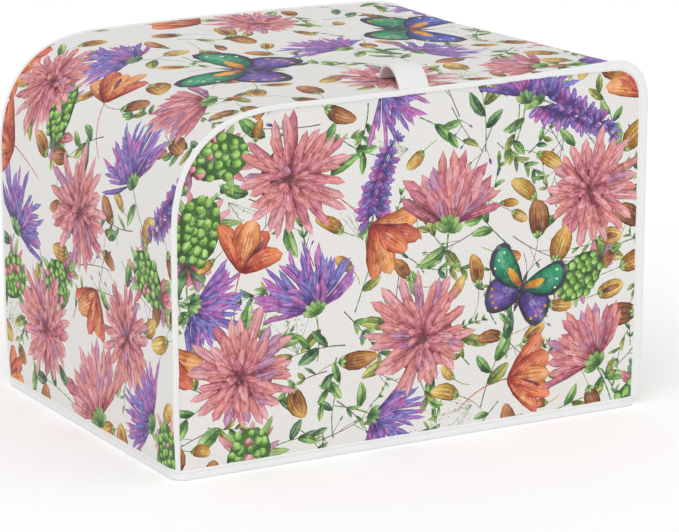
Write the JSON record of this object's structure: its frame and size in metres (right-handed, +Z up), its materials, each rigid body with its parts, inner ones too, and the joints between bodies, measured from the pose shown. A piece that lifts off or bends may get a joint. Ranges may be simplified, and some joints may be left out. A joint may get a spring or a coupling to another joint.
{
  "type": "toaster cover",
  "caption": "Fitted fabric cover for a countertop appliance: boxy, rounded top corners, open bottom, bound seams and hem, floral print, small strap handle on top.",
  "frame": {"origin": "middle of the footprint, on the plane that the hem stands on", "axes": "+Z up, +X along the width to the right as seen from the front, and the front panel faces -Y"},
  "size_m": [0.3, 0.2296, 0.2129],
  "materials": {
    "print_cloth": "matte ribbed polyester with an all-over flower print",
    "binding_tape": "white folded tape, stitched",
    "strap_tape": "white woven strap, slight sheen"
  },
  "bodies": {
    "root": {"gusset": "print_cloth", "front_panel": "print_cloth", "back_panel": "print_cloth", "binding_front": "binding_tape", "binding_rear": "binding_tape", "hem_binding": "binding_tape", "handle_strap": "strap_tape"}
  },
  "joints": []
}
